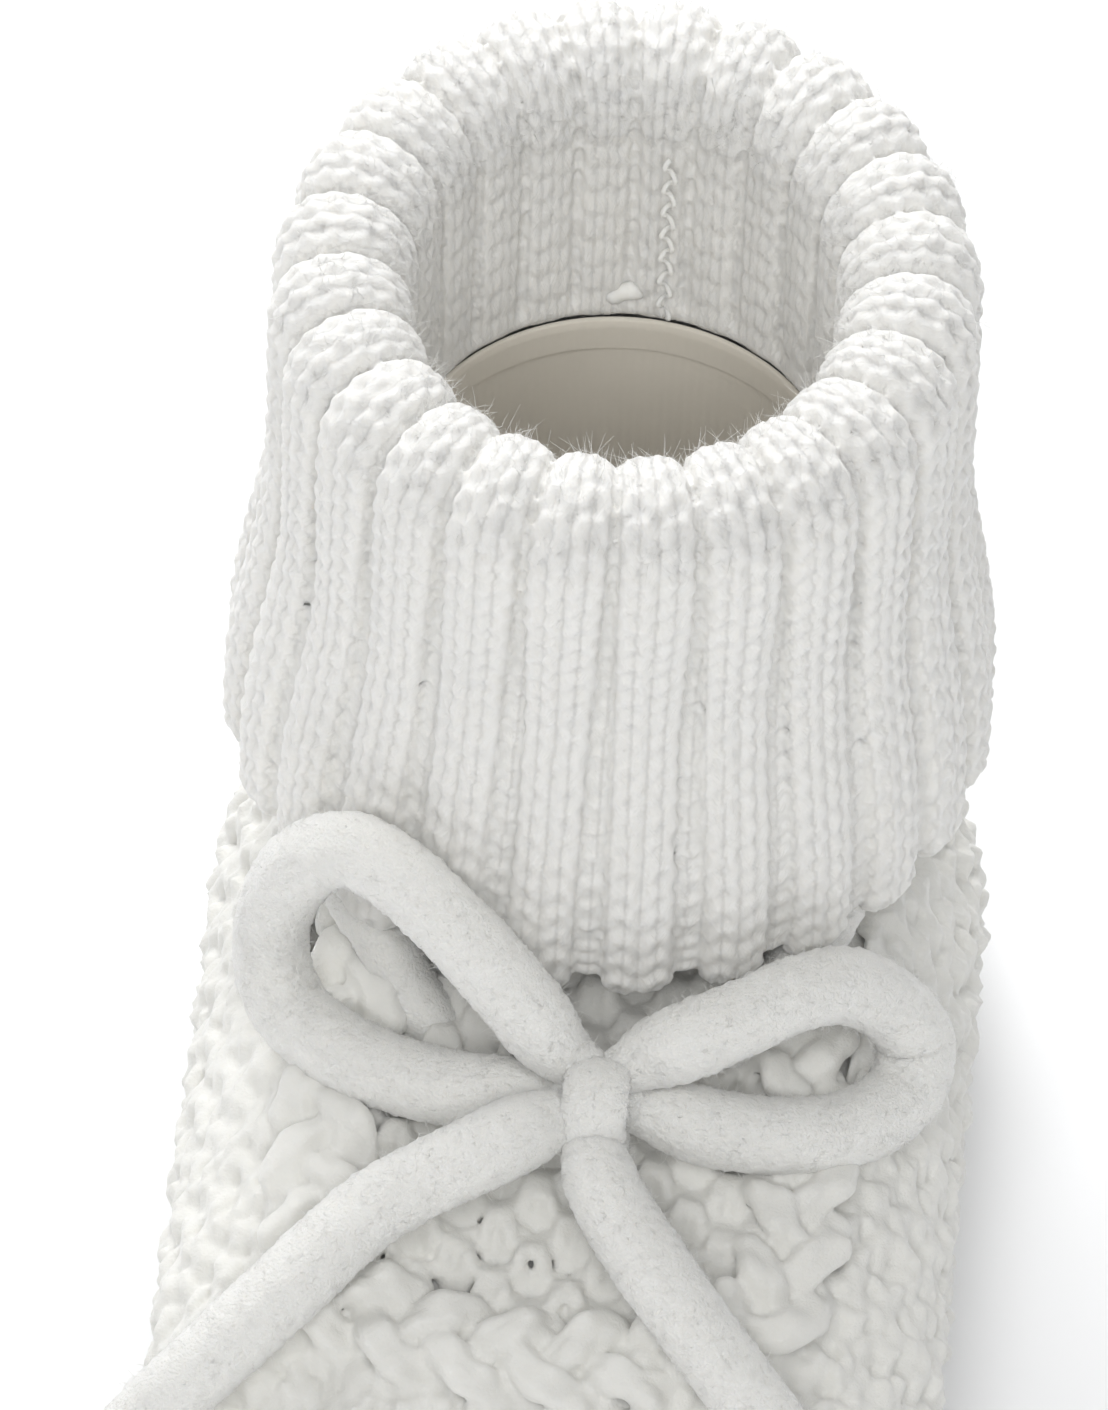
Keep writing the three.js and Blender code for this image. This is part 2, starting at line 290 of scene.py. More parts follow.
class Shade:
    """A socket in a material's node tree, with arithmetic that adds Math nodes."""

    def __init__(self, tree, socket=None):
        self.tree = tree
        self.socket = socket

    def node(self, kind, settings=None, inputs=None, output=0):
        made = self.tree.nodes.new(kind)
        for name, value in (settings or {}).items():
            if name == "stops":
                for element, (position, colour) in zip(made.color_ramp.elements, value):
                    element.position = position
                    element.color = colour
            else:
                setattr(made, name, value)
        for key, value in (inputs or {}).items():
            if isinstance(value, Shade):
                self.tree.links.new(value.socket, made.inputs[key])
            else:
                made.inputs[key].default_value = value
        return Shade(self.tree, made.outputs[output] if made.outputs else None)

    def out(self, name):
        return Shade(self.tree, self.socket.node.outputs[name])

    def maths(self, operation, first, second):
        return self.node("ShaderNodeMath", {"operation": operation}, {0: first, 1: second})

    def __add__(self, other):
        return self.maths("ADD", self, other)

    __radd__ = __add__

    def __mul__(self, other):
        return self.maths("MULTIPLY", self, other)

    __rmul__ = __mul__


def blank_finish(name):
    """A new material, and the start of its shade."""
    material = bpy.data.materials.new(name)
    material.use_nodes = True
    material.node_tree.nodes.clear()
    return material, Shade(material.node_tree)


def yarn_finish(name, light, dark, twist, fibre, depth, sheen, fleck=0.3, soft=0.7):
    """Matt spun fibre: fine streaks that run round the yarn with its twist, over a soft uneven tone."""
    material, shade = blank_finish(name)
    place = shade.node("ShaderNodeUVMap", {"uv_map": "yarn"})
    parts = shade.node("ShaderNodeSeparateXYZ", None, {0: place})
    along = parts.out("X") * (1 / grain_scale)
    around = parts.out("Y") * (1 / grain_scale) + along * twist
    streaks = shade.node("ShaderNodeCombineXYZ", None, {0: along * 0.8, 1: around * fibre, 2: 0.0})
    strands = shade.node(
        "ShaderNodeTexNoise", {"noise_dimensions": "2D"},
        {"Vector": streaks, "Scale": 1.0, "Detail": 2.0, "Roughness": 0.6},
    )
    where = shade.node("ShaderNodeTexCoord", output=3)
    nap = shade.node(
        "ShaderNodeTexNoise", None, {"Vector": where, "Scale": 4200.0, "Detail": 1.0, "Roughness": 0.5}
    )
    cloud = shade.node(
        "ShaderNodeTexNoise", None, {"Vector": where, "Scale": 260.0, "Detail": 2.0, "Roughness": 0.55}
    )
    height = strands * (1 - fleck) + nap * fleck
    bump = shade.node(
        "ShaderNodeBump", None, {"Strength": 0.55, "Distance": depth * mm, "Height": height}
    )
    tone = cloud * 0.6 + strands * 0.4
    colour = shade.node("ShaderNodeMix", {"data_type": "RGBA"}, {0: tone, 6: dark, 7: light}, output=2)
    surface = shade.node("ShaderNodeBsdfPrincipled", None, {
        "Base Color": colour, "Roughness": 0.7, "Normal": bump,
        "Subsurface Weight": soft, "Subsurface Radius": (1.0, 0.95, 0.88), "Subsurface Scale": 1.1 * mm,
        "Sheen Weight": sheen, "Sheen Roughness": 0.45, "Specular IOR Level": 0.3,
    })
    shade.node("ShaderNodeOutputMaterial", None, {"Surface": surface})
    return material


cord_finish = yarn_finish(
    "brushed_cord", (0.91, 0.905, 0.88, 1), (0.85, 0.845, 0.815, 1), twist=0.3, fibre=3.0, depth=0.5,
    sheen=0.5, fleck=0.8, soft=0.4,
)

loop_left_route = [
    [1.6, -11.4, 33.6], [-0.9, -10.7, 35.3], [-3.3, -9.7, 38.1], [-6.3, -8.4, 41.2], [-9.8, -6.8, 44.2],
    [-13.4, -4.9, 46.2], [-17.0, -3.0, 46.2], [-20.3, -1.6, 42.8], [-22.2, -1.0, 37.6], [-22.6, -1.6, 32.6],
    [-21.0, -3.8, 29.2], [-17.2, -6.8, 28.6], [-12.2, -9.3, 28.9], [-7.4, -10.6, 29.4], [-2.8, -11.3, 30.2],
    [0.6, -11.8, 30.9],
]
loop_right_route = [
    [3.4, -11.4, 33.4], [6.1, -10.4, 34.8], [9.0, -9.7, 36.2], [12.7, -7.8, 37.0], [16.4, -5.1, 37.0],
    [19.8, -2.6, 35.4], [23.2, -1.2, 31.8], [25.1, -1.6, 28.2], [24.2, -4.7, 26.0], [20.6, -8.9, 26.8],
    [15.6, -11.2, 28.0], [11.1, -11.9, 29.0], [7.7, -12.0, 30.1], [4.4, -12.2, 31.0],
]
tail_left_route = [
    [1.4, -14.2, 32.2], [-1.5, -16.0, 32.6], [-5.4, -19.0, 32.6], [-12.9, -22.6, 29.5],
    [-18.9, -28.3, 26.2], [-24.4, -32.3, 21.6], [-28.7, -34.2, 16.4], [-32.0, -36.4, 11.0],
    [-34.6, -39.2, 6.2], [-36.8, -43.0, 3.4], [-38.2, -47.6, 2.9], [-38.8, -52.4, 2.8], [-38.6, -57.2, 2.8],
]
tail_right_route = [
    [1.8, -14.6, 31.4], [2.5, -17.5, 31.4], [3.7, -20.6, 30.9], [6.3, -23.9, 29.3], [10.3, -28.2, 27.0],
    [14.6, -32.2, 24.3], [18.6, -35.8, 21.5], [22.9, -39.4, 17.6], [26.4, -42.8, 12.9], [29.4, -46.2, 8.4],
    [32.0, -50.0, 4.8], [34.2, -54.6, 3.0], [35.8, -59.6, 2.8], [36.6, -64.6, 2.8],
]
free_cords = [
    ("knitted_loop_left", "bow_loop_left", "loop_left", loop_left_route, "object"),
    ("knitted_loop_right", "bow_loop_right", "loop_right", loop_right_route, "object"),
    ("knitted_tail_left", "cord_tail_left", "tail_left", tail_left_route, "bare"),
    ("knitted_tail_right", "cord_tail_right", "tail_right", tail_right_route, "bare"),
]
for name, node, body, route, far_end in free_cords:
    parts, line, length = knitted_tube(route, cord_diameter, pinch=0.36)
    strand = piece_of(name, parts, cord_finish)
    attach(strand, body)
    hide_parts(node)
    line[0] * mm
    length * mm
    line[np.linspace(0, len(line) - 1, 40).round().astype(int)] * mm

# ---------------------------------------------------------------- knot of the bow
# The same cord, drawn tight: one short turn of it laps over the crossing of the loops and tails, from the
# hollow behind the knot over its front and back underneath.
knot_low, knot_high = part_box("bow_knot")
knot_centre = np.array((knot_low + knot_high) / 2) / mm
wrap_centre = knot_centre + [0.0, -1.9, 0.7]
wrap_turn = np.radians(np.linspace(-160, 150, 17))
wrap_out = np.column_stack([0.08 * np.sin(wrap_turn), -np.cos(wrap_turn), -np.sin(wrap_turn)])
wrap_route = wrap_centre + wrap_out * [1, 2.7, 3.2]
wrap_line, _ = through(wrap_route, cord_step)
wrap_parts, _, _ = knitted_tube(wrap_route, 2.5, hairs=0.9, outward=unit(wrap_line - wrap_centre), width=1.95)
drawn_diameter = 4.6
core_bend = [[-3.2, 0.3, 0.5], [-1.2, -0.3, 0.2], [1.2, -0.3, -0.1], [3.2, 0.3, -0.3]]
core_route = knot_centre + np.array(core_bend)
core_parts, _, _ = knitted_tube(core_route, drawn_diameter, pinch=0.3, hairs=0.3)
knot = piece_of("knitted_knot", wrap_parts + core_parts, cord_finish)
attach(knot, "foot")
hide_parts("bow_knot")

# ---------------------------------------------------------------- ankle run of the drawcord
# The same cord between the two eyelets, drawn thinner. It goes in at one eyelet, is held all round the neck
# of the shoe under the turned-down cuff, and comes out at the other.
_, neck_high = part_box("foot_upper")
neck_height = neck_high.z / mm
neck_radius = 18.4
ankle_radius = neck_radius + 3.1
ankle_front = math.radians(72)
ankle_turn = np.linspace(ankle_front, 2 * math.pi - ankle_front, 15)
ankle_route = [
    [9.4, -5.6, 24.4], [11.0, -3.4, 26.6], [13.2, -0.8, 28.8], [15.6, 2.6, 31.2], [17.6, 6.9, 31.6],
]
ankle_route += [
    [ankle_radius * math.sin(turn), shaft_y / mm - ankle_radius * math.cos(turn), neck_height + 1.7]
    for turn in ankle_turn
]
ankle_route += [
    [-17.4, 6.6, 31.6], [-14.6, 2.0, 31.2], [-12.4, -0.4, 28.4], [-10.2, -2.4, 26.4], [-8.6, -4.2, 24.2],
]
ankle_parts, _, _ = knitted_tube(ankle_route, drawn_diameter, pinch=0.5, hairs=0.3)
ankle_run = piece_of("knitted_ankle_run", ankle_parts, cord_finish)
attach(ankle_run, "foot")
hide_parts("drawcord_ankle_run")

# ---------------------------------------------------------------- turned-down cuff
# The upper half of the 2x1 rib leg, turned inside out over the lower half: pairs of knit wales stand up as
# ropes with one sunken purl wale between them, round a puffy fold at the top and down to a cast-off hem.
wales = 72
course = 2.42
opening_radius = 15.4
throat_radius = 15.4
lining_top = 60
fold_outer = 25.9
rim_height = cuff_high.z / mm
hem_height = cuff_low.z / mm - 1.7
hem_radius = (cuff_high.x - cuff_low.x) / 2 / mm
fold_depth = 5.5
fold_base = rim_height - fold_depth
fold_turn = np.linspace(math.pi, 0, 40)
fold_middle = (opening_radius + fold_outer) / 2
fold_half = (fold_outer - opening_radius) / 2
fall = np.linspace(0, 1, 30)[1:]
wall_radius = mixed(fold_outer, hem_radius, smooth_step(0.35, 0.9, fall))
hem_turn = np.linspace(0, 0.62 * math.pi, 12)[1:]
hem_round = 2.3
profile = np.concatenate([
    np.column_stack([mixed(throat_radius, opening_radius, np.linspace(0, 1, 12)),
                     mixed(lining_top + 0.4, fold_base, np.linspace(0, 1, 12))])[:-1],
    np.column_stack([fold_middle + fold_half * np.cos(fold_turn),
                     fold_base + fold_depth * np.sin(fold_turn)]),
    np.column_stack([wall_radius, mixed(fold_base, hem_height + hem_round, fall)]),
    np.column_stack([hem_radius - hem_round * (1 - np.cos(hem_turn)),
                     hem_height + hem_round - hem_round * np.sin(hem_turn)]),
])
profile_run = np.concatenate([[0], np.cumsum(np.linalg.norm(np.diff(profile, axis=0), axis=1))])
profile_way = unit(np.gradient(profile, axis=0))
fold_start = fold_base - lining_top
rib_keys = [0, fold_start, fold_start + 9, fold_start + 19, fold_start + 33, fold_start + 50, profile_run[-1]]
purl_share = [0.27, 0.2, 0.13, 0.17, 0.27, 0.33, 0.36]
rib_depth = [0.5, 0.75, 1.45, 1.5, 1.4, 1.25, 1.35]
rib_phase = 0.85
oval_from = 58
oval_to = 78
oval_share = 0.105
oval_shift = 0.15


def stitch_line(turn, faces, reach=0.86):
    """One course of loops: how far across, how far up and how far out the yarn is at each part of a wale."""
    wave = 1.45
    phase = 2 * np.pi * turn
    wale = np.floor(turn).astype(int)
    part = turn - wale
    count = len(faces)
    here = faces[wale % count]
    ease = 0.2
    before = mixed(faces[(wale - 1) % count], here, smooth_step(-ease, ease, part))
    after = mixed(here, faces[(wale + 1) % count], smooth_step(1 - ease, 1 + ease, part))
    face = np.where(part < ease, before, np.where(part > 1 - ease, after, here))
    across = turn + wave * np.sin(2 * phase) / (2 * np.pi)
    return across, -reach * np.cos(phase), -face * np.cos(2 * phase)


def rib_level(inside, dip, run):
    """How deep the fabric lies: `inside` crosses a pair of knit wales, and `dip` a purl wale, or is nought."""
    groove = np.interp(run, rib_keys, [0.2, 0.2, 0.16, 0.34, 0.44, 0.46, 0.34])
    crown = np.sin(np.pi * np.clip(inside, 0, 1)) ** 0.5 - groove * np.exp(-((inside - 0.5) / 0.11) ** 2)
    valley = -0.35 * np.sin(np.pi * np.clip(dip, 0, 1))
    return (np.where(dip > 0, valley, crown) - 1) * np.interp(run, rib_keys, rib_depth)


def rib_shape(across, run):
    """Where a wale lies round the leg, and how deep, once the purl wales have drawn in."""
    share = np.interp(run, rib_keys, purl_share)
    rib = np.floor(across / 3)
    part = across - rib * 3
    knit = part < 2
    spread = np.where(knit, part / 2 * (1 - share), (1 - share) + (part - 2) * share)
    return (rib + spread) * 3, rib_level(part / 2, np.where(knit, 0, part - 2), run)


def leg_point(across, run, out, wobble=None):
    """A point of the leg's fabric: `across` in wales from the toe, `run` along the profile, `out` of it."""
    radius = np.interp(run, profile_run, profile[:, 0])
    height = np.interp(run, profile_run, profile[:, 1])
    away_radius = -np.interp(run, profile_run, profile_way[:, 1])
    away_height = np.interp(run, profile_run, profile_way[:, 0])
    angle = 2 * np.pi * (across + rib_phase) / wales
    if wobble is not None:
        angle = angle + wobble / np.maximum(radius, 1)
    reach = radius + away_radius * out
    high = smooth_step(oval_from, oval_to, height)
    place = np.stack([
        reach * np.sin(angle),
        shaft_y / mm - oval_shift * high - reach * (1 + oval_share * high) * np.cos(angle),
        height + away_height * out,
    ], -1)
    normal = np.stack([
        away_radius * np.sin(angle), -away_radius * np.cos(angle), away_height + 0 * angle
    ], -1)
    return place, unit(normal)


rib_faces = np.array([1.0, 1.0, -1.0])
rib_drift = rng.normal(0, 0.14, (9, 24))
rib_drift = np.concatenate([rib_drift, rib_drift[:, :1]], axis=1)


def drift_of(across, run):
    """The slow sideways wander of each rib down the leg."""
    rib = np.clip(across / 3, 0, 23.999)
    row = np.clip(run / profile_run[-1] * 8, 0, 7.999)
    low_row = row.astype(int)
    low_rib = rib.astype(int)
    a = mixed(rib_drift[low_row, low_rib], rib_drift[low_row + 1, low_rib], row - low_row)
    b = mixed(rib_drift[low_row, low_rib + 1], rib_drift[low_row + 1, low_rib + 1], row - low_row)
    return mixed(a, b, rib - low_rib)


def rib_courses(count):
    """The first `count` courses of rib, counted from the lining's edge."""
    samples = 10
    yarn_share = 0.232
    least_yarn = 0.09
    turn = np.arange(wales * samples) / samples
    rows = np.arange(count)
    across, rise, lift = stitch_line(turn, rib_faces)
    stitch = np.floor(turn).astype(int)
    uneven = [np.random.default_rng(row).normal(0, 1, (3, wales)) for row in rows]
    uneven = np.stack(uneven, axis=1)[..., stitch]
    shift = 0.035 * uneven[0]
    climb = 0.05 * uneven[1]
    plump = 1 + 0.06 * uneven[2]
    run = (rows[:, None] + 0.5 + climb * np.sin(np.pi * (turn - stitch)) + rise) * course
    run = np.clip(run, 0.4, profile_run[-1])
    scallop = 0.9 * smooth_step(profile_run[-1] - 9, profile_run[-1] - 1, run)
    place = (across + shift * np.sin(np.pi * (turn - stitch))) % wales
    spread, depth = rib_shape(place, run)
    run = run - scallop * (-depth / 0.8)
    radius = np.interp(run, profile_run, profile[:, 0])
    pitch = 2 * np.pi * radius / wales
    wide = 1.5 * (1 - np.interp(run, rib_keys, purl_share))
    yarn = (yarn_share * pitch + least_yarn) * wide**0.7 * plump * (1 + 0.06 * lift)
    out = depth - yarn + lift * yarn * 0.6
    centres, normals = leg_point(spread, run, out, drift_of(place, run))
    return sweep(centres, normals, yarn, sides=7, closed=True)


def ringed(rings, inward=False):
    """Rings of points, each joined to the next, as (vertices, quads, corners), facing out or inward."""
    rings = np.asarray(rings)
    here = np.arange(rings.shape[0] * rings.shape[1]).reshape(rings.shape[:2])
    beside = np.roll(here, -1, 1)
    quads = [here[:-1], beside[:-1], beside[1:], here[1:]]
    if inward:
        quads = [here[:-1], here[1:], beside[1:], beside[:-1]]
    quads = np.stack(quads, -1).reshape(-1, 4)
    return rings.reshape(-1, 3), quads, np.zeros((len(quads), 4, 2))


def rib_backing(low, high, depth):
    """The body of the fabric behind the yarn, which closes the view between the stitches."""
    columns = wales * 4
    runs = np.arange(low, high, 0.8)
    across = np.broadcast_to(np.arange(columns) / 4, (len(runs), columns))
    run = np.broadcast_to(runs[:, None], across.shape)
    spread, sink = rib_shape(across, run)
    centres, _ = leg_point(spread, run, sink - depth, drift_of(across, run))
    return ringed(centres)


def facing(vertices, quads, outward):
    """How far each face looks along `outward`, from -1 to 1."""
    first, second, third, fourth = (vertices[quads[:, corner]] for corner in range(4))
    return np.sum(unit(np.cross(third - first, fourth - second)) * outward[quads[:, 0]], axis=1)


def brushed_rib(skin):
    """Presses the felted rib's pits shallower, and gives it its yarn's grain, which leans one way up one half
    of a wale and back up the other. Leaves out the unseen side, and tells how far along each point lies."""
    pit = 0.22
    deepest_pit = 1.3
    grain_pitch = 2.2
    grain_up = 0.86
    grain_aside = 0.5
    vertices, quads, _ = skin
    high = smooth_step(oval_from, oval_to, vertices[:, 2])
    beside = vertices[:, 0]
    before = (shaft_y / mm - oval_shift * high - vertices[:, 1]) / (1 + oval_share * high)
    reach = np.hypot(beside, before)
    across = (np.arctan2(beside, before) / (2 * np.pi) * wales - rib_phase) % wales
    place = np.column_stack([reach, vertices[:, 2]])
    nearest = np.zeros(len(place), int)
    batch = 20000
    for first in range(0, len(place), batch):
        some = slice(first, first + batch)
        nearest[some] = np.argmin(np.sum((place[some, None] - profile[None]) ** 2, axis=2), axis=1)
    off = place - profile[nearest]
    way = profile_way[nearest]
    run = profile_run[nearest] + np.sum(off * way, axis=1)
    out = -off[:, 0] * way[:, 1] + off[:, 1] * way[:, 0]
    share = np.interp(run, rib_keys, purl_share)
    part = (across % 3) / 3
    inside = part / (1 - share)
    under = rib_level(inside, (part - 1 + share) / share, run) - out
    press = 0.62 * np.interp(run, [0, fold_start + 12, fold_start + 20, 99], [1, 1, 1.25, 1.1])
    lift = press * np.clip(under - pit, 0, 1.0) * (under < deepest_pit)
    outward = np.column_stack([-way[:, 1] * beside / reach, way[:, 1] * before / reach, way[:, 0]])
    vertices = vertices + lift[:, None] * outward
    lean = np.where(inside * 2 % 1 < 0.5, grain_aside, -grain_aside)
    aside = across * grain_pitch
    grain = np.column_stack([run * grain_up + aside * lean, aside * grain_up - run * lean])
    hidden = (facing(vertices, quads, outward) < -0.4) & (np.mean(under[quads], axis=1) > 0.9)
    return vertices, quads[~hidden], grain[quads[~hidden]], run


def shared_out(skin, chosen):
    """The chosen faces of a skin, with only the points they need."""
    vertices, quads, corners = skin[:3]
    used, where = np.unique(quads[chosen], return_inverse=True)
    return vertices[used], where.reshape(-1, 4), corners[chosen]


rib_finish = yarn_finish(
    "rib_yarn", (0.88, 0.872, 0.845, 1), (0.81, 0.8, 0.77, 1), twist=0.0, fibre=3.4, depth=0.19, sheen=0.3,
    soft=0.55,
)
split_course = 7
total_courses = int(profile_run[-1] / course)
split_run = (split_course + 0.3) * course
edge_across = np.arange(wales * 6) / 6
edge_centre, edge_normal = leg_point(edge_across, np.full(len(edge_across), 0.55), -0.95)
lower_edge = sweep(edge_centre, edge_normal, 0.9, sides=10, closed=True)
rib_skin = brushed_rib(felted([rib_courses(total_courses), lower_edge], 0.26, 0.5))
cuff_side = np.mean(rib_skin[3][rib_skin[1]], axis=1) > split_run
cuff_parts = [
    shared_out(rib_skin, cuff_side),
    rib_backing(split_course * course + 0.4, profile_run[-1] - 0.6, 0.95),
]
fuzz_count = 7500
fuzz_across = rng.uniform(0, wales, fuzz_count)
fuzz_run = rng.uniform(fold_start, fold_start + 15, fuzz_count)
fuzz_spread, fuzz_sink = rib_shape(fuzz_across, fuzz_run)
fuzz_roots, fuzz_ways = leg_point(fuzz_spread, fuzz_run, fuzz_sink - 0.35)
fuzz_ways = unit(fuzz_ways + rng.normal(0, 0.8, fuzz_ways.shape))
cuff_parts.append(fibres(fuzz_roots, fuzz_ways, 0.95, curl=1.3))
cuff = piece_of("knitted_cuff", cuff_parts, rib_finish)
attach(cuff, "cuff")
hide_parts("cuff")

# ---------------------------------------------------------------- inner leg
# The lower half of the same rib. Inside the opening it runs up from the lining's edge into the fold, and
# outside it stands round the ankle under the cuff.
leg_parts = [
    shared_out(rib_skin, ~cuff_side),
    rib_backing(0.0, split_course * course + 1.2, 0.9),
]
outer_yarn = 0.5
calf_radius = 20.4
calf_rise = 14
outer_rows = np.arange(11)
outer_turn = np.arange(wales * 10) / 10
outer_across, outer_rise, outer_lift = stitch_line(outer_turn, -rib_faces)
outer_height = neck_height - 0.6 + (outer_rows[:, None] + 0.5 + outer_rise) * course
outer_widen = smooth_step(neck_height, neck_height + calf_rise, outer_height)
outer_radius = mixed(neck_radius + 0.1, calf_radius, outer_widen)
outer_angle = 2 * np.pi * outer_across / wales
outer_reach = outer_radius - outer_yarn + outer_lift * 0.3
outer_place = np.stack([
    outer_reach * np.sin(outer_angle),
    shaft_y / mm - outer_reach * np.cos(outer_angle),
    outer_height,
], -1)
outer_normal = np.stack([np.sin(outer_angle), -np.cos(outer_angle), 0 * outer_angle], -1)
leg_parts.append(sweep(
    outer_place, np.broadcast_to(outer_normal, outer_place.shape), outer_yarn, sides=6, closed=True
))
stem_rows = np.linspace(neck_height - 1.5, neck_height + 27, 20)
stem_widen = smooth_step(neck_height, neck_height + calf_rise, stem_rows)
stem_radius = mixed(neck_radius + 0.1, calf_radius, stem_widen) - 1.1
stem_angle = 2 * np.pi * np.arange(96) / 96
stem = np.stack([
    stem_radius[:, None] * np.sin(stem_angle),
    shaft_y / mm - stem_radius[:, None] * np.cos(stem_angle),
    stem_rows[:, None] + 0 * stem_angle,
], -1)
leg_parts.append(ringed(stem))
leg = piece_of("knitted_leg", leg_parts, rib_finish)
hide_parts("leg_rib")
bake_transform(leg)

# ---------------------------------------------------------------- foot
# Chunky ivory knit. A flat instep panel in moss stitch is framed by a cable on each side, and a band in
# double moss goes round the sides, toe and heel, from the sole up to the cable and the neck.
foot_low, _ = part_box("foot_upper")
sole_low, sole_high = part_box("outsole")
sole_radius = (sole_high.x - sole_low.x) / 2 / mm
toe_centre = sole_low.y / mm + sole_radius
heel_centre = sole_high.y / mm - sole_radius
straight = heel_centre - toe_centre
heel_bulge = 4
toe_bulge = 3.3
foot_base = foot_low.z / mm
foot_course = 2.5
foot_wales = 84


def sole_edge(around, outset=0.0):
    """The sole's outline, from the toe by way of +X, set out by `outset`."""
    around = np.asarray(around) % 1
    side = np.where(around > 0.5, -1.0, 1.0)
    quarter = math.pi / 2 * sole_radius
    perimeter = 4 * quarter + 2 * straight
    run = np.where(around > 0.5, 1 - around, around) * perimeter
    reach = sole_radius + outset
    toe_angle = np.minimum(run, quarter) / sole_radius
    heel_angle = np.maximum(run - quarter - straight, 0) / sole_radius
    x = np.where(run < quarter, reach * np.sin(toe_angle), reach * np.cos(heel_angle))
    y = np.where(
        run < quarter, toe_centre - reach * np.cos(toe_angle),
        toe_centre + np.clip(run - quarter, 0, straight) + reach * np.sin(heel_angle),
    )
    return np.stack([side * x, y], -1)


def foot_point(around, up):
    """The outside of the foot: `up` goes from the sole's edge to the neck."""
    around = np.asarray(around, float)
    up = np.asarray(up, float)[..., None]
    edge = sole_edge(around)
    angle = around * 2 * np.pi
    neck = np.stack([neck_radius * np.sin(angle), shaft_y / mm - neck_radius * np.cos(angle)], -1)
    nearest = sole_radius - neck_radius
    farthest = straight + nearest
    forward = np.clip((np.linalg.norm(edge - neck, axis=-1) - nearest) / (farthest - nearest), 0, 1)
    swell = sole_edge(around, mixed(2.55 * heel_bulge, 4.3 * toe_bulge, forward**3))
    forward = forward[..., None]
    crown = mixed(neck, edge, mixed(1, 0.74, forward))
    base = np.full_like(forward, foot_base)
    controls = [
        np.concatenate([edge, base], -1),
        np.concatenate([swell, base + mixed(8.7, 11.7, forward)], -1),
        np.concatenate([crown, neck_height - mixed(4.5, 7.5, forward)], -1),
        np.concatenate([neck, neck_height - mixed(6, 5, forward)], -1),
        np.concatenate([neck, np.full_like(base, neck_height)], -1),
    ]
    weights = [(1 - up) ** 4, 4 * (1 - up) ** 3 * up, 6 * (1 - up) ** 2 * up**2, 4 * (1 - up) * up**3, up**4]
    return sum(weight * control for weight, control in zip(weights, controls))


def foot_normal(around, up):
    """Straight out of the foot at a place on it."""
    small = 0.002
    turned = foot_point(around + small, up) - foot_point(around - small, up)
    risen = foot_point(around, np.minimum(up + small, 1)) - foot_point(around, np.maximum(up - small, 0))
    return unit(np.cross(turned, risen))


table_around = np.linspace(0, 1, 361)
table_up = np.linspace(0, 1, 121)
table_points = foot_point(table_around[:, None] + 0 * table_up, table_up + 0 * table_around[:, None])
table_run = np.concatenate([
    np.zeros((361, 1)), np.cumsum(np.linalg.norm(np.diff(table_points, axis=1), axis=2), axis=1)
], axis=1)
table_step = 0.5
table_far = np.arange(0, table_run.max() + table_step, table_step)
table_rise = np.array([np.interp(table_far, runs, table_up) for runs in table_run])


def up_at(around, run):
    """How far up the foot lies, at a distance over the fabric from the sole."""
    place = (np.asarray(around) % 1) * 360
    step = np.clip(run / table_step, 0, len(table_far) - 1.001)
    low = np.minimum(place.astype(int), 359)
    near = step.astype(int)
    a = mixed(table_rise[low, near], table_rise[low + 1, near], place - low)
    b = mixed(table_rise[low, near + 1], table_rise[low + 1, near + 1], place - low)
    return mixed(a, b, step - near)


def border_up(around):
    """The line of the cable, which parts the instep from the side band."""
    aside = np.minimum(np.asarray(around) % 1, 1 - np.asarray(around) % 1)
    return mixed(0.5, 1.0, smooth_step(0.07, 0.185, aside))


border_run = np.array([
    np.interp(border_up(around), table_up, runs) for around, runs in zip(table_around, table_run)
])
foot_finish = yarn_finish(
    "foot_yarn", (0.85, 0.845, 0.815, 1), (0.77, 0.765, 0.73, 1), twist=1.1, fibre=4.0, depth=0.2, sheen=0.3,
    fleck=0.6, soft=0.3,
)


def side_course(row):
    """One course of the side band. High up it stops at the cable on either side of the instep."""
    samples = 12
    height = (row + 0.5) * foot_course
    open_at = table_around[:181][border_run[:181] > height]
    whole = len(open_at) == 181
    first = 0.0 if whole else open_at[0] - 0.004
    turn = np.arange(foot_wales * samples + (0 if whole else 1)) / samples
    if not whole:
        turn = turn[(turn >= first * foot_wales) & (turn <= (1 - first) * foot_wales)]
    pattern = np.where((np.arange(foot_wales) + row // 2) % 2 == 0, 1.0, -1.0)
    across, rise, lift = stitch_line(turn, pattern, reach=0.8)
    stitch = np.floor(turn).astype(int) % foot_wales
    jitter = rng.normal(0, 0.14, foot_wales)[stitch]
    around = across / foot_wales
    run = (row + 0.55 + rise + jitter * np.sin(np.pi * (turn % 1))) * foot_course
    top = np.interp(around % 1, table_around, table_run[:, -1])
    up = up_at(around, np.clip(run, 0, top))
    point = foot_point(around, up)
    normal = foot_normal(around, np.clip(up, 0.01, 0.99))
    ahead = foot_point(around + 0.5 / foot_wales, up)
    pitch = np.linalg.norm(ahead - foot_point(around - 0.5 / foot_wales, up), axis=-1)
    yarn = np.clip(0.222 * pitch + 0.05, 0.4, 0.8)
    out = -yarn * 0.9 + lift * yarn * 1.15
    return sweep(point + normal * out[:, None], normal, yarn, closed=whole)


foot_parts = [side_course(row) for row in range(14)]

# instep panel
panel_wale = 2.75
panel_course = 2.45
panel_columns = 16
panel_rows = 20
panel_samples = 14
panel_yarn = 0.7
panel_top = 6.5
seed_around = np.linspace(-0.3, 0.3, 181)
seed_up = np.linspace(0.3, 1, 100)
seed_a, seed_u = np.meshgrid(seed_around, seed_up, indexing="ij")
seed_points = foot_point(seed_a, seed_u)


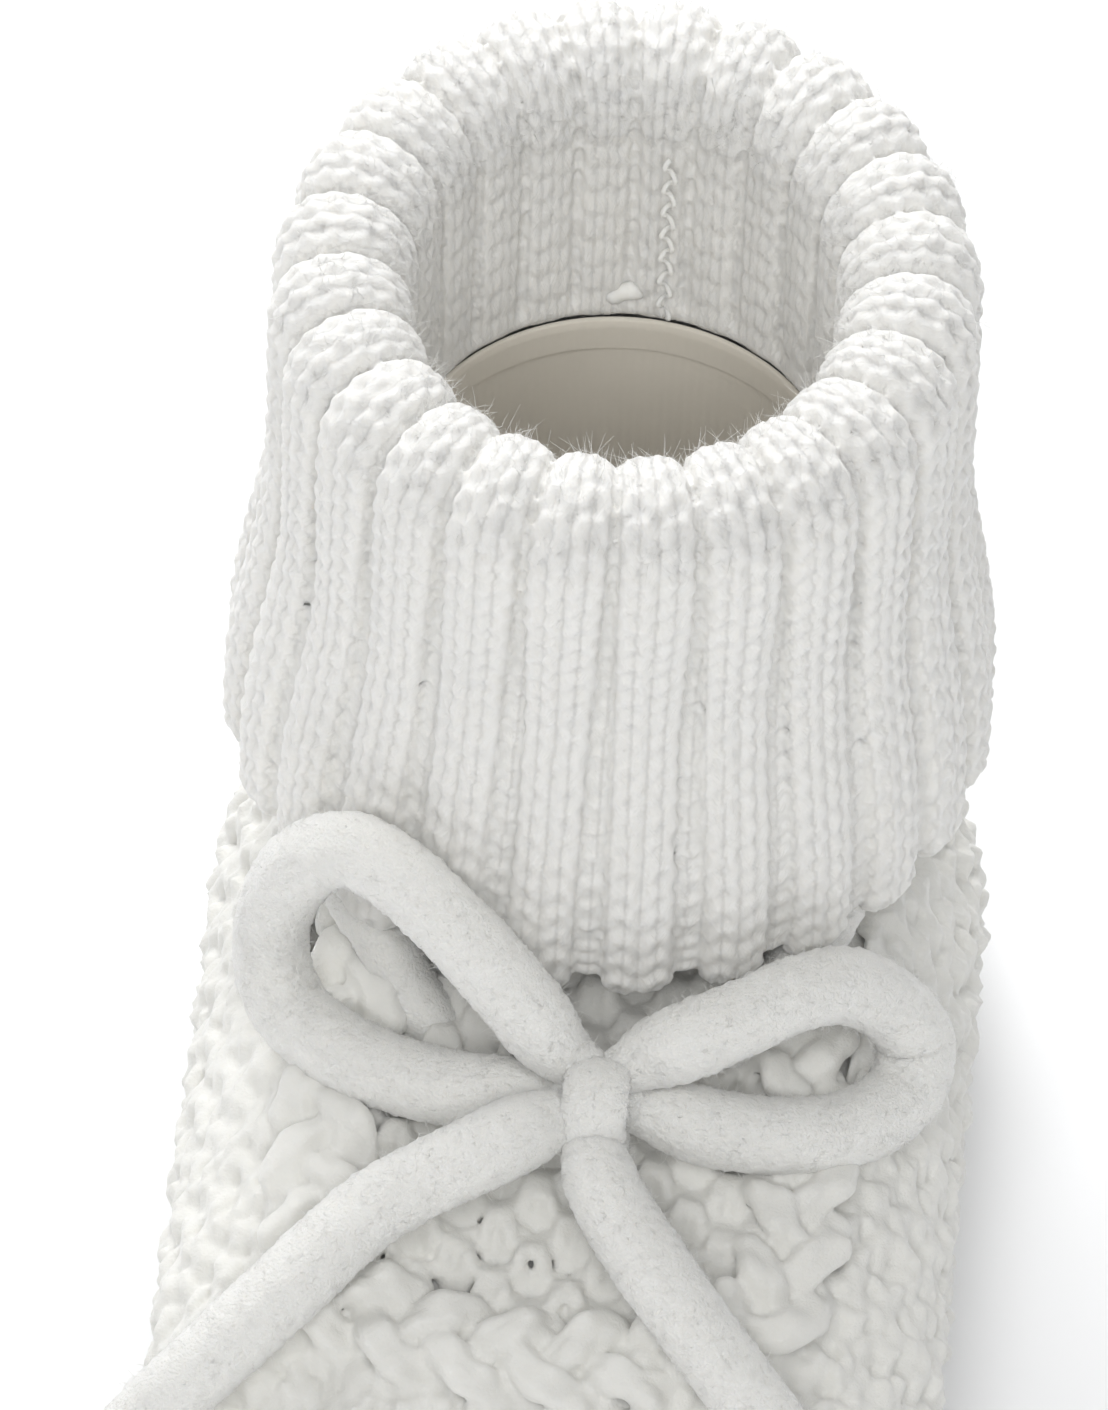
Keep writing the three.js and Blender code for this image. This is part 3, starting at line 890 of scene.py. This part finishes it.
def on_instep(x, y):
    """The place on the foot's upper side over a point of its plan, as (around, up)."""
    around = np.zeros(x.shape)
    up = np.zeros(x.shape)
    flat = seed_points[..., :2].reshape(-1, 2)
    for i in range(len(x)):
        far = (flat[:, 0] - x[i]) ** 2 + (flat[:, 1] - y[i]) ** 2
        best = np.argmin(far + 0.02 * (1 - seed_u.ravel()))
        around[i] = seed_a.ravel()[best]
        up[i] = seed_u.ravel()[best]
    for _ in range(4):
        small = 1e-3
        here = foot_point(around, up)[..., :2]
        by_around = (foot_point(around + small, up)[..., :2] - here) / small
        by_up = (here - foot_point(around, up - small)[..., :2]) / small
        miss = np.stack([x, y], -1) - here
        area = by_around[:, 0] * by_up[:, 1] - by_around[:, 1] * by_up[:, 0]
        area = np.where(np.abs(area) < 1e-3, 1e-3, area)
        turn_by = (miss[:, 0] * by_up[:, 1] - miss[:, 1] * by_up[:, 0]) / area
        rise_by = (by_around[:, 0] * miss[:, 1] - by_around[:, 1] * miss[:, 0]) / area
        around = around + np.clip(turn_by, -0.02, 0.02)
        up = np.clip(up + np.clip(rise_by, -0.05, 0.05), 0.25, 0.999)
    return around, up


for row in range(panel_rows):
    turn = np.arange(panel_columns * panel_samples + 1) / panel_samples
    pattern = np.where((np.arange(panel_columns) + row) % 2 == 0, 1.0, -1.0)
    across, rise, lift = stitch_line(turn, pattern, reach=0.85)
    stitch = np.minimum(np.floor(turn).astype(int), panel_columns - 1)
    jitter = rng.normal(0, 0.16, panel_columns)[stitch]
    x = (across - panel_columns / 2) * panel_wale
    y = panel_top - (row + 0.5 + rise + jitter) * panel_course
    around, up = on_instep(x, y)
    keep = up > border_up(around) - 0.06
    if keep.sum() < panel_samples * 2:
        continue
    around = around[keep]
    up = up[keep]
    lift = lift[keep]
    point = foot_point(around, up)
    normal = foot_normal(around, np.clip(up, 0.01, 0.99))
    yarn = panel_yarn * (1 + 0.16 * np.sin(turn[keep] * 5.1 + row))
    out = -yarn * 0.9 + lift * 0.98
    foot_parts.append(sweep(point + normal * out[:, None], normal, yarn, sides=7))

# cables
cable_side = np.linspace(-0.2, 0.2, 900)
cable_point = foot_point(cable_side, border_up(cable_side))
cable_normal = foot_normal(cable_side, np.clip(border_up(cable_side), 0.01, 0.99))
cable_way = unit(np.gradient(cable_point, axis=0))
cable_aside = np.cross(cable_normal, cable_way)
cable_run = np.concatenate([[0], np.cumsum(np.linalg.norm(np.diff(cable_point, axis=0), axis=1))])
cable_repeat = 17.0
cable_sway = 2.7
cable_yarn = 1.05
cable_bead = 2.4
for strand in range(3):
    phase = 2 * np.pi * (cable_run / cable_repeat + strand / 3)
    for leg_side in (-0.62, 0.62):
        sway = cable_sway * np.sin(phase) + leg_side * (1 + 0.12 * np.sin(cable_run * 2.4))
        lift = 0.9 + 1.15 * np.sin(2 * phase)
        rope = cable_point + cable_aside * sway[:, None] + cable_normal * lift[:, None]
        bead = cable_yarn * (1 + 0.16 * np.sin(cable_run * 2 * np.pi / cable_bead + leg_side * 3))
        foot_parts.append(sweep(rope[::2], cable_normal[::2], bead[::2], sides=7))

foot_skin, foot_quads, foot_corners = felted(foot_parts, 0.28, 0.4)
swell = np.zeros(len(foot_skin))
for way, shift in zip(unit(rng.normal(size=(9, 3))), rng.uniform(0, 6.28, 9)):
    swell += np.sin(foot_skin @ way * 1.9 + shift)
swell_way = unit(foot_skin - [0.0, 0.0, foot_base - 12.0] - foot_skin * [0.0, 0.8, 0.0])
foot_skin = foot_skin + swell_way * 0.08 * swell[:, None]
outer_side = facing(foot_skin, foot_quads, swell_way) > -0.45
foot_parts = [shared_out((foot_skin, foot_quads, foot_corners), outer_side)]

# the body of the fabric behind the stitches
back_around, back_up = np.meshgrid(np.arange(168) / 168, np.linspace(0, 1, 60))
back_depth = 1.25
backing = foot_point(back_around, back_up)
backing = backing - back_depth * foot_normal(back_around, np.clip(back_up, 0.01, 0.99))
foot_parts.append(ringed(backing))
foot = piece_of("knitted_foot", foot_parts, foot_finish)
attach(foot, "foot")
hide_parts("foot_upper")

# ---------------------------------------------------------------- sole
# A flat oval of the same chunky yarn in garter stitch, worked in rounds from the edge to the middle line, so
# the bootie stands on soft ridges. Its rim is the start of the side band.
def sole_round(inset, count, height, yarn, level):
    """A closed course of loops that lies flat, `inset` millimetres inside the sole's edge."""
    samples = 10
    turn = np.arange(count * samples) / samples
    across, rise, lift = stitch_line(turn, np.array([1.0, -1.0]), reach=0.75)
    edge = sole_edge(across / count, -(inset + rise * height))
    centres = np.column_stack([edge, level + lift * yarn * 0.3])
    down = np.broadcast_to(np.array([0.0, 0.0, -1.0]), centres.shape)
    return sweep(centres, down, yarn, sides=6, closed=True)


sole_yarn = 0.72
sole_thick = (sole_high.z - sole_low.z) / mm
sole_parts = []
for row in range(9):
    inset = 0.9 + row * 2.6
    across_count = int((2 * math.pi * max(sole_radius - inset, 1.2) + 2 * straight) / 2.9)
    sole_parts.append(sole_round(inset, across_count, 2.5, sole_yarn, sole_yarn * 1.32))
for level in (1.5, 2.4):
    sole_parts.append(sole_round(0.75, foot_wales, 0.3, 0.66, level))
middle_line = np.column_stack([np.zeros(60), np.linspace(toe_centre, heel_centre, 60), np.full(60, 1.0)])
middle_line[:, 0] = 0.45 * np.sin(np.arange(60) * 1.9)
sole_parts.append(sweep(middle_line, np.array([0.0, 0.0, -1.0]), 0.8, sides=8))
oval_points = 120
oval_around = np.arange(oval_points) / oval_points


def flat_oval(inset, level):
    """A ring of points `inset` inside the sole's edge, all at one height."""
    return np.column_stack([sole_edge(oval_around, -inset), np.full(oval_points, level)])


disc_level = sole_thick - 1.1
disc_insets = (1.2, 6.0, 12.0, 18.0, 23.5)
sole_parts.append(ringed([flat_oval(inset, disc_level) for inset in disc_insets], inward=True))
sole = piece_of("knitted_sole", sole_parts, foot_finish)
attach(sole, "foot")
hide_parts("outsole")

# ---------------------------------------------------------------- sole seam
# Two strands of ivory sewing yarn, twisted together. They are whipped round the edge where the side band
# meets the sole, and hold the two together.
seam_low, seam_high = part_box("sole_seam")
seam_middle = (seam_low.z + seam_high.z) / 2 / mm
seam_outset = (seam_high.x - sole_high.x) / mm - 0.55
seam_around = np.arange(1500) / 1500
seam_edge = sole_edge(seam_around, seam_outset)
seam_out = unit(sole_edge(seam_around, seam_outset + 1) - seam_edge)
seam_turns = 2 * np.pi * 88 * seam_around
seam_parts = []
for strand in (0, math.pi):
    sway = 0.34 * np.cos(seam_turns + strand)
    climb = 0.5 * np.sin(seam_turns + strand)
    centres = np.column_stack([seam_edge + seam_out * sway[:, None], seam_middle + climb])
    outward = np.column_stack([seam_out, 0 * climb])
    seam_parts.append(sweep(centres, outward[None], 0.5, sides=7, closed=True))
seam_finish = yarn_finish(
    "seam_yarn", (0.93, 0.92, 0.88, 1), (0.86, 0.85, 0.8, 1), twist=1.4, fibre=5.0, depth=0.05, sheen=0.2
)
seam = piece_of("whipped_sole_seam", seam_parts, seam_finish)
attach(seam, "foot")
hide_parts("sole_seam")

# ---------------------------------------------------------------- lining
# Smooth beige jersey, sewn in as a tube: it lies against the inside of the foot and rises in the leg to a
# turned edge, where the ribbed wall begins. Its beige, darker and warmer than the ivory yarn, is partly the
# jersey's own colour and partly painted shade for the dim inside of the shoe.
_, lining_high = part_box("lining")
lining_height = lining_high.z / mm
lining_depth = 3.2
lining_columns = 168
lining_around = np.arange(lining_columns) / lining_columns
lining_angle = lining_around * 2 * np.pi
turned_edge = lining_height - 0.35


def lining_ring(radius, height):
    """A level ring of the lining round the leg's middle."""
    return np.column_stack([
        radius * np.sin(lining_angle), shaft_y / mm - radius * np.cos(lining_angle),
        np.full(lining_columns, height),
    ])


lining_rows = []
for up in np.linspace(0.07, 0.96, 46):
    here = np.full(lining_columns, up)
    lining_rows.append(foot_point(lining_around, here) - foot_normal(lining_around, here) * lining_depth)
for climb in np.linspace(0, 1, 34):
    radius = mixed(neck_radius - lining_depth, throat_radius + 0.7, climb)
    crease = 0.22 * np.sin(lining_angle * 5 + 1.3 + climb * 1.5) * math.sin(climb * math.pi)
    lining_rows.append(lining_ring(radius + crease, mixed(neck_height, turned_edge, climb)))
for fold in (0.5, 1.0):
    fold_rise = 0.3 * math.sin(fold * math.pi)
    lining_rows.append(lining_ring(throat_radius + 0.7 - 0.45 * fold, turned_edge + fold_rise))
for drop in (1.2, 3.2):
    lining_rows.append(lining_ring(throat_radius + 0.25, lining_height - drop))
lining_points, lining_quads, _ = ringed(lining_rows, inward=True)
column_corner = np.arange(lining_columns + 1) * 0.62
row_corner = np.arange(len(lining_rows)) * 0.8
left_corner = np.broadcast_to(column_corner[:-1], (len(row_corner) - 1, lining_columns))
right_corner = np.broadcast_to(column_corner[1:], left_corner.shape)
low_corner = np.broadcast_to(row_corner[:-1, None], left_corner.shape)
high_corner = np.broadcast_to(row_corner[1:, None], left_corner.shape)
lining_corners = np.stack([
    np.stack([left_corner, low_corner], -1), np.stack([left_corner, high_corner], -1),
    np.stack([right_corner, high_corner], -1), np.stack([right_corner, low_corner], -1),
], -2).reshape(-1, 4, 2)


def jersey_finish(name, light, dark):
    """Fine machine jersey: faint upright wales, with a brushed nap."""
    material, shade = blank_finish(name)
    place = shade.node("ShaderNodeUVMap", {"uv_map": "yarn"})
    parts = shade.node("ShaderNodeSeparateXYZ", None, {0: place})
    wales_across = shade.node("ShaderNodeMath", {"operation": "SINE"}, {0: parts.out("X") * 80})
    courses_up = shade.node("ShaderNodeMath", {"operation": "SINE"}, {0: parts.out("Y") * 90})
    where = shade.node("ShaderNodeTexCoord", output=3)
    nap = shade.node("ShaderNodeTexNoise", None, {"Vector": where, "Scale": 2500.0, "Detail": 2.0})
    cloud = shade.node("ShaderNodeTexNoise", None, {"Vector": where, "Scale": 120.0, "Detail": 2.0})
    height = wales_across * 0.25 + courses_up * 0.1 + nap * 0.6
    bump = shade.node("ShaderNodeBump", None, {"Strength": 0.4, "Distance": 0.06 * mm, "Height": height})
    colour = shade.node(
        "ShaderNodeMix", {"data_type": "RGBA"}, {0: cloud * 0.7 + nap * 0.3, 6: dark, 7: light}, output=2
    )
    surface = shade.node("ShaderNodeBsdfPrincipled", None, {
        "Base Color": colour, "Roughness": 0.88, "Normal": bump,
        "Sheen Weight": 0.2, "Sheen Roughness": 0.5, "Specular IOR Level": 0.2,
    })
    shade.node("ShaderNodeOutputMaterial", None, {"Surface": surface})
    return material


# Partly painted shade: the beige is darker and warmer than the ivory yarn, for the dim inside of the shoe.
jersey = jersey_finish("lining_jersey_with_painted_shade", (0.76, 0.72, 0.645, 1), (0.7, 0.66, 0.58, 1))
lining = piece_of("jersey_lining", [(lining_points, lining_quads, lining_corners)], jersey)
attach(lining, "foot")
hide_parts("lining")

# ---------------------------------------------------------------- insole
# A soft stuffed pad covered in the same jersey, whose beige is partly painted shade. It has a rounded edge,
# and lies loose in the bottom of the shoe on the knitted sole.
pad_low, pad_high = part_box("insole")
pad_inset = sole_radius - (pad_high.x - pad_low.x) / 2 / mm
pad_middle = (pad_low.z + pad_high.z) / 2 / mm
pad_half = (pad_high.z - pad_low.z) / 2 / mm
pad_crown = 0.35
inner_insets = (8, 12, 16, 20, 23.5)
pad_rows = [flat_oval(inset, pad_middle - pad_half) for inset in inner_insets[::-1]]
for turn in np.linspace(-math.pi / 2, math.pi / 2, 9):
    edge_inset = pad_inset + pad_half * (1 - math.cos(turn))
    pad_rows.append(flat_oval(edge_inset, pad_middle + pad_half * math.sin(turn)))
for inset in inner_insets:
    crown = pad_crown * smooth_step(6, 16, inset)
    pad_rows.append(flat_oval(inset, pad_middle + pad_half - pad_crown + crown))
pad_points, pad_quads, _ = ringed(pad_rows)
pad = piece_of("soft_insole", [(pad_points, pad_quads, pad_points[pad_quads][..., :2])], jersey)
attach(pad, "foot")
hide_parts("insole")

# ---------------------------------------------------------------- back seam
# The edges of the leg are drawn together at the heel with a running yarn, which shows inside as a low ladder
# and ends in a small knot at the lining's edge.
ladder_height = np.linspace(lining_top + 0.6, fold_base - 1.2, 110)
ladder_share = (ladder_height - lining_top) / (fold_base - lining_top)
ladder_radius = mixed(throat_radius, opening_radius, ladder_share) + 0.12
ladder_x = 2.0 + 0.42 * np.sin(ladder_height * 2.6)
ladder_in = 0.22 * np.cos(ladder_height * 5.2)
ladder_y = shaft_y / mm + np.sqrt(np.maximum(ladder_radius**2 - ladder_x**2, 1)) + ladder_in
ladder = np.column_stack([ladder_x, ladder_y, ladder_height])
lump = np.linspace(-1, 1, 11)
seam_knot = ladder[6] + np.column_stack([
    1.6 * lump - 3.3, 0.25 * lump**2 + 0.35, 0.3 * np.sin(4 * lump) + 0.9
])
lump_radius = 0.8 * np.sqrt(1 - 0.85 * lump**2) * (1 - 0.25 * np.exp(-((lump / 0.2) ** 2)))
back_seam_parts = [
    sweep(ladder, np.array([0.0, -1.0, 0.0]), 0.2, sides=8),
    sweep(seam_knot, np.array([0.0, -1.0, 0.3]), lump_radius, sides=12),
]
back_seam = piece_of("sewn_back_seam", back_seam_parts, seam_finish)
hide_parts("back_seam")
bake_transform(back_seam)

# ---------------------------------------------------------------- floor and light
# A plain pale floor. The main light is broad and soft, from behind and the left. Weaker ones stand low on the
# left and straight behind, one over the toe fills the front, and the room gives the rest.
floor_mesh = bpy.data.meshes.new("floor")
floor_mesh.from_pydata([(-3, -3, 0), (3, -3, 0), (3, 3, 0), (-3, 3, 0)], [], [(0, 1, 2, 3)])
floor = bpy.data.objects.new("floor", floor_mesh)
bpy.context.scene.collection.objects.link(floor)
floor_finish = bpy.data.materials.new("floor_white")
floor_finish.use_nodes = True
floor_surface = floor_finish.node_tree.nodes["Principled BSDF"]
floor_surface.inputs["Base Color"].default_value = (0.93, 0.935, 0.945, 1)
floor_surface.inputs["Roughness"].default_value = 0.9
floor_surface.inputs["Specular IOR Level"].default_value = 0.1
floor_mesh.materials.append(floor_finish)

world = bpy.data.worlds.new("room")
bpy.context.scene.world = world
world.use_nodes = True
world.node_tree.nodes["Background"].inputs["Color"].default_value = (1, 1, 1, 1)
world.node_tree.nodes["Background"].inputs["Strength"].default_value = 0.275
bpy.context.scene.view_settings.view_transform = "Standard"


def soft_light(name, place, size, power):
    """A round soft light that looks at the shoe's ankle."""
    light = bpy.data.lights.new(name, "AREA")
    light.shape = "DISK"
    light.size = size
    light.energy = power
    lamp = bpy.data.objects.new(name, light)
    lamp.location = place
    aim = Vector((0, shaft_y, 0.05)) - Vector(place)
    lamp.rotation_euler = aim.to_track_quat("-Z", "Y").to_euler()
    bpy.context.scene.collection.objects.link(lamp)


soft_light("key", (-0.45, 0.95, 1.05), 0.9, 12.6)
soft_light("low left", (-1.1, 0.7, 0.6), 0.8, 1.5)
soft_light("behind", (0.15, 1.2, 0.9), 0.9, 7.4)
soft_light("over the toe", (0.0, -1.0, 1.2), 1.0, 11.9)
